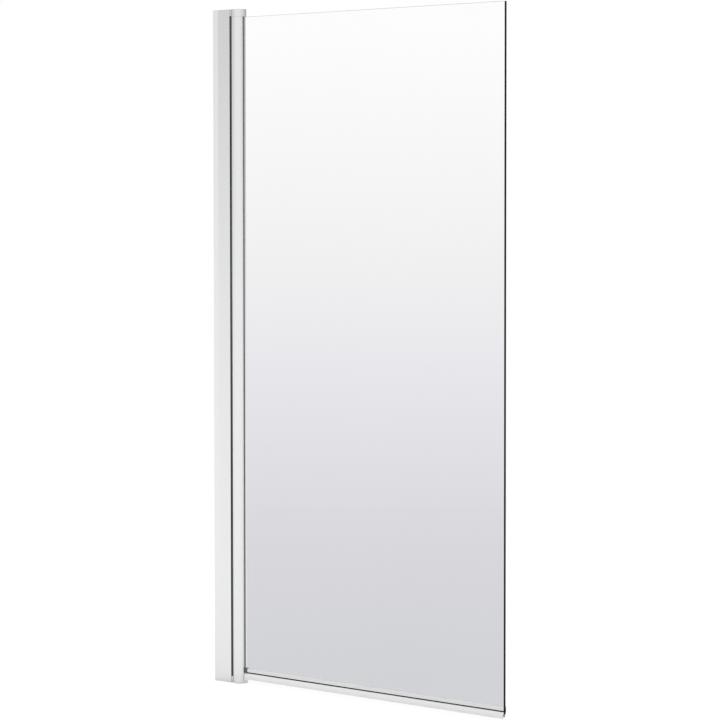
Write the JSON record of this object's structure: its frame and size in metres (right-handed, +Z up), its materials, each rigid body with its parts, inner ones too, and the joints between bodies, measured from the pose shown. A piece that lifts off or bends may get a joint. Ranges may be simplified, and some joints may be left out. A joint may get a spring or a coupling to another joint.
{
  "type": "bath screen",
  "caption": "Clear glass bath screen leaf that pivots on a round hinge profile held by a slim wall channel, with a clear seal under its lower edge.",
  "frame": {"origin": "on the wall face, at the foot of the wall channel, in the glass's middle plane", "axes": "+X from the wall along the screen to its free edge, +Z up, -Y towards the side with the drip blade"},
  "size_m": [0.8, 0.0338, 1.4],
  "materials": {
    "polished_aluminium": "bright polished silver, smooth, mirror-like along its length",
    "satin_aluminium": "plain mill finish, hidden inside the channel",
    "chromed_casting": "bright chrome plate",
    "steel": "plain stainless steel",
    "black_rubber": "matte black",
    "grey_rubber": "matte mid-dark grey",
    "nylon": "natural off-white",
    "clear_glass": "clear flat toughened glass with dark ground edges",
    "clear_seal": "clear flexible plastic, slightly milky"
  },
  "bodies": {
    "wall_side": {"wall_channel": "polished_aluminium"},
    "post": {"pivot_post": "satin_aluminium", "wiper_seal": "black_rubber", "top_hinge_cap": "chromed_casting", "bottom_hinge_cap": "chromed_casting", "top_cap_screws": "steel", "bottom_cap_screws": "steel", "top_pivot_pin": "steel", "bottom_pivot_pin": "steel", "top_thrust_washer": "nylon", "bottom_thrust_washer": "nylon", "clamp_washers": "steel", "clamp_screws": "steel", "clamp_nuts": "steel", "screw_covers": "chromed_casting"},
    "leaf": {"hinge_barrel": "polished_aluminium", "top_barrel_plug": "nylon", "bottom_barrel_plug": "nylon", "glazing_gasket": "grey_rubber", "glass_packer": "black_rubber", "glass_panel": "clear_glass", "bottom_seal": "clear_seal", "seal_end_block": "black_rubber"}
  },
  "joints": [
    {"name": "width_adjustment", "type": "slide", "parent": "wall_side", "child": "post", "axis": [1, 0, 0], "range_m": [0, 0.02]},
    {"name": "screen_pivot", "type": "hinge", "parent": "post", "child": "leaf", "pos_m": [0.0608, 0, 0], "axis": [0, 0, 1], "range_deg": [-90, 90]}
  ]
}
